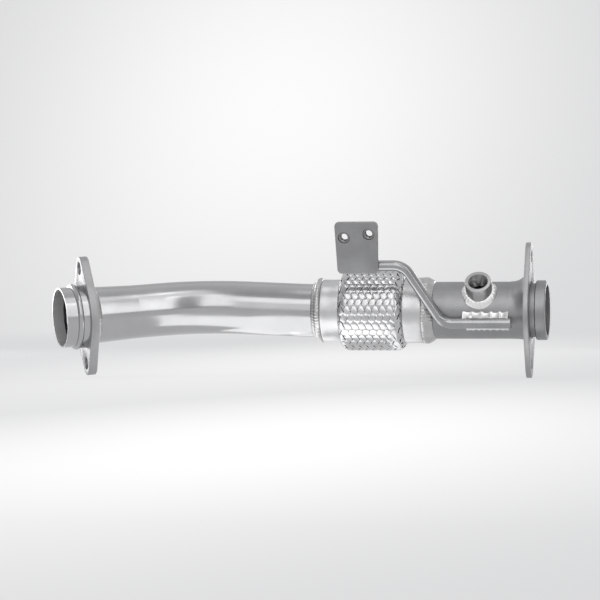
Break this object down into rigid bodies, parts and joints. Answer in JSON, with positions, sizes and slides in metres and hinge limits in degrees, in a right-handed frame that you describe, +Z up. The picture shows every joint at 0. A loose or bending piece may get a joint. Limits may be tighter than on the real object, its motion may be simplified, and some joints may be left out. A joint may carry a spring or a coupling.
{
  "type": "exhaust flex pipe",
  "caption": "Exhaust pipe with a braided flexible coupling, flanged ends, a threaded sensor boss and a hanger bracket.",
  "frame": {"origin": "centre of the outlet flange's outer face", "axes": "+X along the flexible coupling and out of the outlet, +Z up, the bracket and sensor boss on the -Y side"},
  "size_m": [0.4693, 0.1323, 0.1476],
  "materials": {
    "polished_tube": "bright drawn stainless tube",
    "satin_tube": "satin stainless tube",
    "flange_plate": "laser-cut plate, mill finish",
    "weld_bead": "rippled bright weld",
    "collar_steel": "bright pressed ring",
    "braid_wire": "bright stainless wire",
    "bellows_steel": "thin stainless strip",
    "turned_steel": "machined steel",
    "bar_steel": "drawn bar",
    "pressed_plate": "matt pressed steel"
  },
  "bodies": {
    "root": {"inlet_tube": "polished_tube", "inlet_spigot": "polished_tube", "inlet_flange": "flange_plate", "outlet_flange": "flange_plate", "inlet_flange_weld": "weld_bead", "inlet_collar": "collar_steel", "inlet_collar_weld": "weld_bead", "outer_braid": "braid_wire", "bellows": "bellows_steel", "interlock_liner": "bellows_steel", "outlet_collar": "collar_steel", "outlet_collar_weld": "weld_bead", "outlet_tube": "satin_tube", "outlet_flange_weld": "weld_bead", "outlet_spigot": "satin_tube", "sensor_boss": "turned_steel", "sensor_boss_weld": "weld_bead", "bracket_rod": "bar_steel", "rod_upper_weld": "weld_bead", "rod_lower_weld": "weld_bead", "bracket_plate": "pressed_plate", "left_weld_nut": "turned_steel", "right_weld_nut": "turned_steel", "plate_rod_weld": "weld_bead"}
  },
  "joints": []
}
